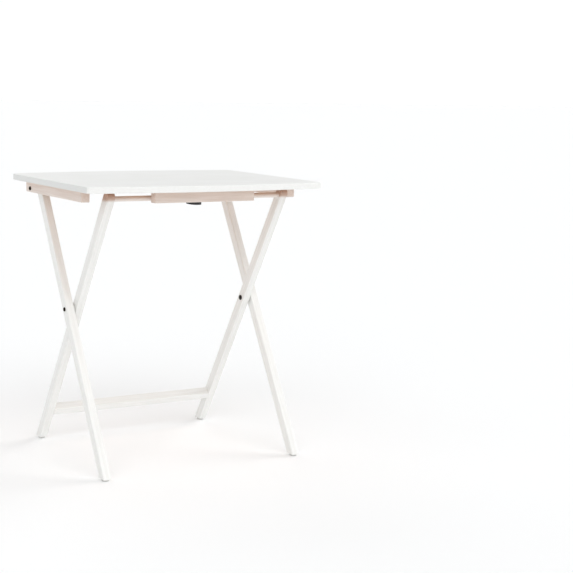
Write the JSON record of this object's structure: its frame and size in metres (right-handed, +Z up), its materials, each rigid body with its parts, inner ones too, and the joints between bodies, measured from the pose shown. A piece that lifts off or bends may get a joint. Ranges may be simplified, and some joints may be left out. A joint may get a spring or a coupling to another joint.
{
  "type": "folding tray table",
  "caption": "Folding wooden tray table with a bowed rectangular top on crossed legs, a locking dowel, a stop block with a turn latch, and a stretcher.",
  "frame": {"origin": "on the floor, under the middle of the top, at the middle of the table's footprint", "axes": "+Z up, +X to the right along the top's long side, +Y to the back, from the stop block towards the pivots"},
  "size_m": [0.609, 0.4788, 0.66],
  "materials": {
    "painted_top": "satin white lacquer on top and edges, raw brown board underneath",
    "painted_wood": "satin white lacquer",
    "raw_wood": "unfinished",
    "dark_steel": "dark bronze plating",
    "zinc_steel": "bright zinc",
    "black_plastic": "semi-gloss moulded",
    "grey_plastic": "matt moulded"
  },
  "bodies": {
    "outer_legs": {"left_outer_leg": "painted_wood", "right_outer_leg": "painted_wood", "left_cross_bolt": "dark_steel", "right_cross_bolt": "dark_steel", "left_cross_nut": "dark_steel", "right_cross_nut": "dark_steel", "left_cross_spacer": "grey_plastic", "right_cross_spacer": "grey_plastic", "left_front_glide": "grey_plastic", "right_front_glide": "grey_plastic", "front_glide_nails": "zinc_steel"},
    "inner_legs": {"left_inner_leg": "painted_wood", "right_inner_leg": "painted_wood", "lock_dowel": "painted_wood", "dowel_brads": "zinc_steel", "stretcher": "painted_wood", "stretcher_pins": "raw_wood", "left_back_glide": "grey_plastic", "right_back_glide": "grey_plastic", "back_glide_nails": "zinc_steel"},
    "pivot_bolts": {"left_pivot_bolt": "dark_steel", "right_pivot_bolt": "dark_steel", "left_pivot_nut": "dark_steel", "right_pivot_nut": "dark_steel", "pivot_washers": "zinc_steel"},
    "top": {"top_panel": "painted_top", "left_cleat": "painted_wood", "right_cleat": "painted_wood", "stop_block": "painted_wood", "cleat_screws": "zinc_steel", "block_screws": "zinc_steel", "latch_washer": "zinc_steel", "latch_screw": "zinc_steel"},
    "latch": {"turn_latch": "black_plastic"}
  },
  "joints": [
    {"name": "leg_fold", "type": "hinge", "parent": "outer_legs", "child": "inner_legs", "pos_m": [0, 0, 0.35748], "axis": [-1, 0, 0], "range_deg": [0, 60.9]},
    {"name": "top_fold", "type": "hinge", "parent": "outer_legs", "child": "pivot_bolts", "pos_m": [0, 0.159, 0.6275], "axis": [-1, 0, 0], "range_deg": [0, 30.45]},
    {"name": "top_lift", "type": "hinge", "parent": "pivot_bolts", "child": "top", "pos_m": [0, 0.159, 0.6275], "axis": [-1, 0, 0], "range_deg": [0, 90]},
    {"name": "latch_turn", "type": "hinge", "parent": "top", "child": "latch", "pos_m": [-0.015, -0.185, 0.618], "axis": [0, 0, -1], "range_deg": [0, 90]}
  ],
  "couplings": [
    {"joint": "leg_fold", "follows": "top_fold", "ratio": 2}
  ]
}
